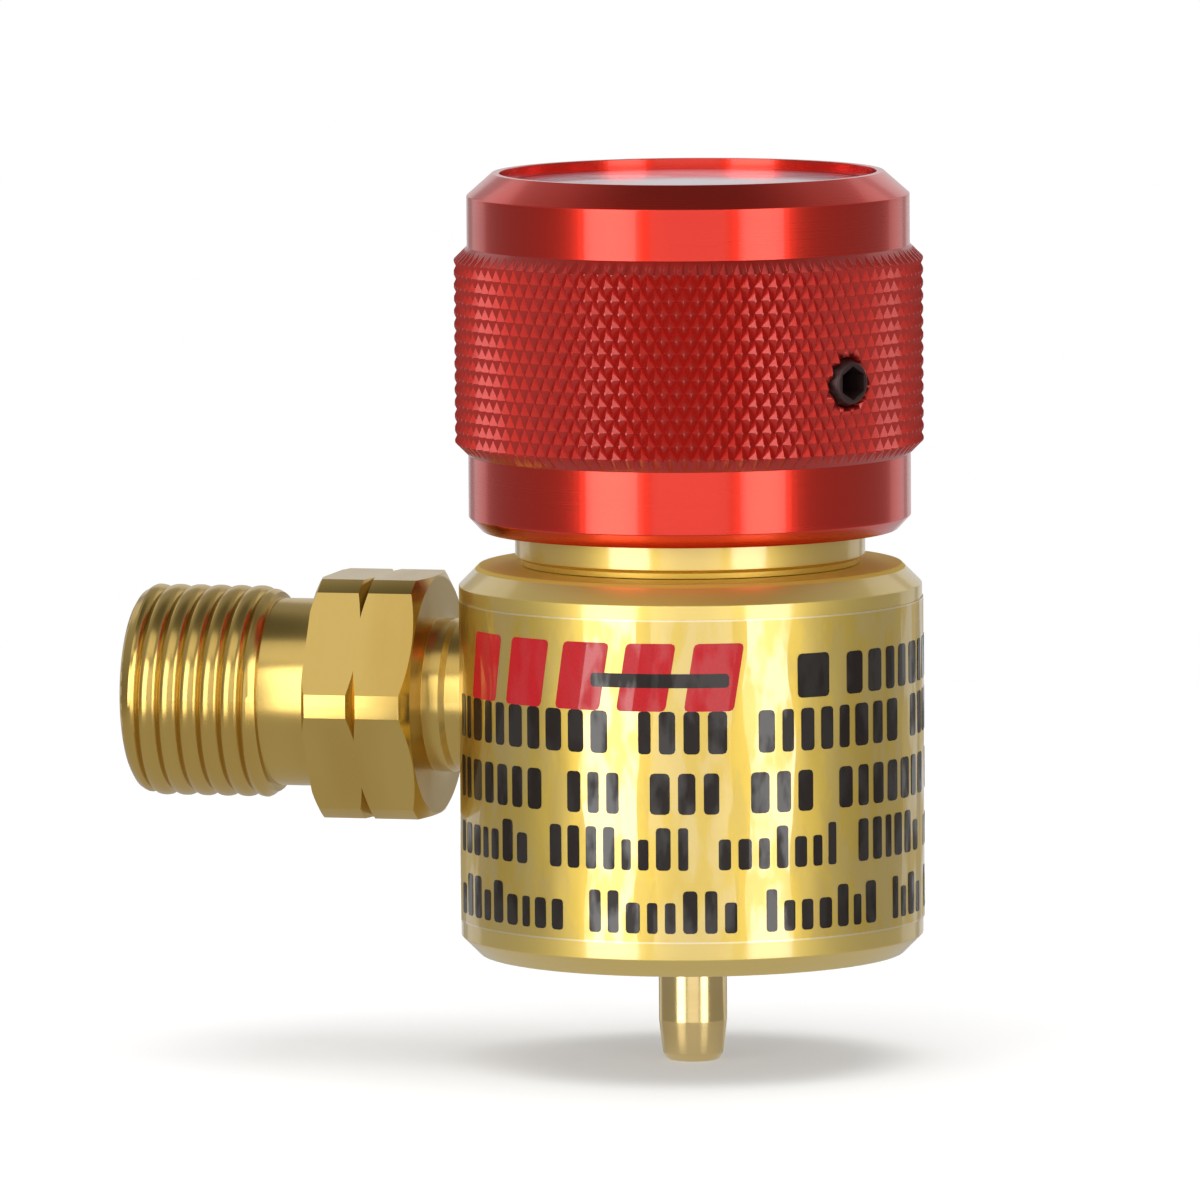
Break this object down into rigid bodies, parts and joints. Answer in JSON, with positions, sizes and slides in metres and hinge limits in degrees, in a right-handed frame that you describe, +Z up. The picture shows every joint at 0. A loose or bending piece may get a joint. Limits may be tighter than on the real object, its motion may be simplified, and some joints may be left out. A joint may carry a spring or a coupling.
{
  "type": "gas pressure regulator",
  "caption": "Compact piston gas regulator for a disposable cylinder: knurled red adjusting knob, gold turned body, threaded bottom socket with a valve pin, and a threaded brass side outlet.",
  "frame": {"origin": "centre of the body's bottom face on the body's axis, where the cylinder socket opens", "axes": "+Z up the body's axis to the adjusting knob; the side outlet points along -X"},
  "size_m": [0.0549, 0.032, 0.0612],
  "materials": {
    "gold_anodised": "bright gold anodised, fine turning marks",
    "red_anodised": "satin red anodised",
    "brass": "bright machined brass",
    "copper": null,
    "sintered_bronze": null,
    "stainless": "bright stainless steel",
    "spring_steel": "drawn spring wire",
    "black_oxide": "black oxide steel",
    "rubber": "moulded nitrile rubber",
    "polymer": "white sealing polymer",
    "film": "clear gloss film over gold",
    "disc": "glossy printed disc"
  },
  "bodies": {
    "housing": {"body": "gold_anodised", "bonnet": "gold_anodised", "body_label": "film", "outlet_fitting": "brass", "inlet_pin": "brass", "valve_nozzle": "brass", "socket_gasket": "rubber", "bonnet_gasket": "polymer", "inlet_pin_o_ring": "rubber", "inlet_filter": "sintered_bronze", "nozzle_washer": "copper", "valve_seat": "polymer", "poppet_spring": "spring_steel"},
    "valve_gear": {"piston": "brass", "piston_o_ring": "rubber", "poppet": "stainless"},
    "spring_carrier": {"spring_button": "brass", "thrust_ball": "stainless", "spring_washer": "stainless", "range_spring": "spring_steel"},
    "knob_group": {"knob": "red_anodised", "knob_disc": "disc", "knob_set_screw": "black_oxide"}
  },
  "joints": [
    {"name": "knob_travel", "type": "slide", "parent": "housing", "child": "spring_carrier", "axis": [0, 0, 1], "range_m": [-0.00201, 0.00101], "deforming": ["range_spring"]},
    {"name": "knob_turn", "type": "hinge", "parent": "spring_carrier", "child": "knob_group", "pos_m": [0, 0, 0.0291], "axis": [0, 0, 1], "range_deg": [-480, 240]},
    {"name": "valve_stroke", "type": "slide", "parent": "housing", "child": "valve_gear", "axis": [0, 0, -1], "range_m": [0, 0.0005], "stiffness_N_per_m": 2000, "springref_m": -0.0005, "deforming": ["poppet_spring"]}
  ],
  "couplings": [
    {"joint": "knob_travel", "follows": "knob_turn", "m_per_rad": 0.00023873}
  ]
}
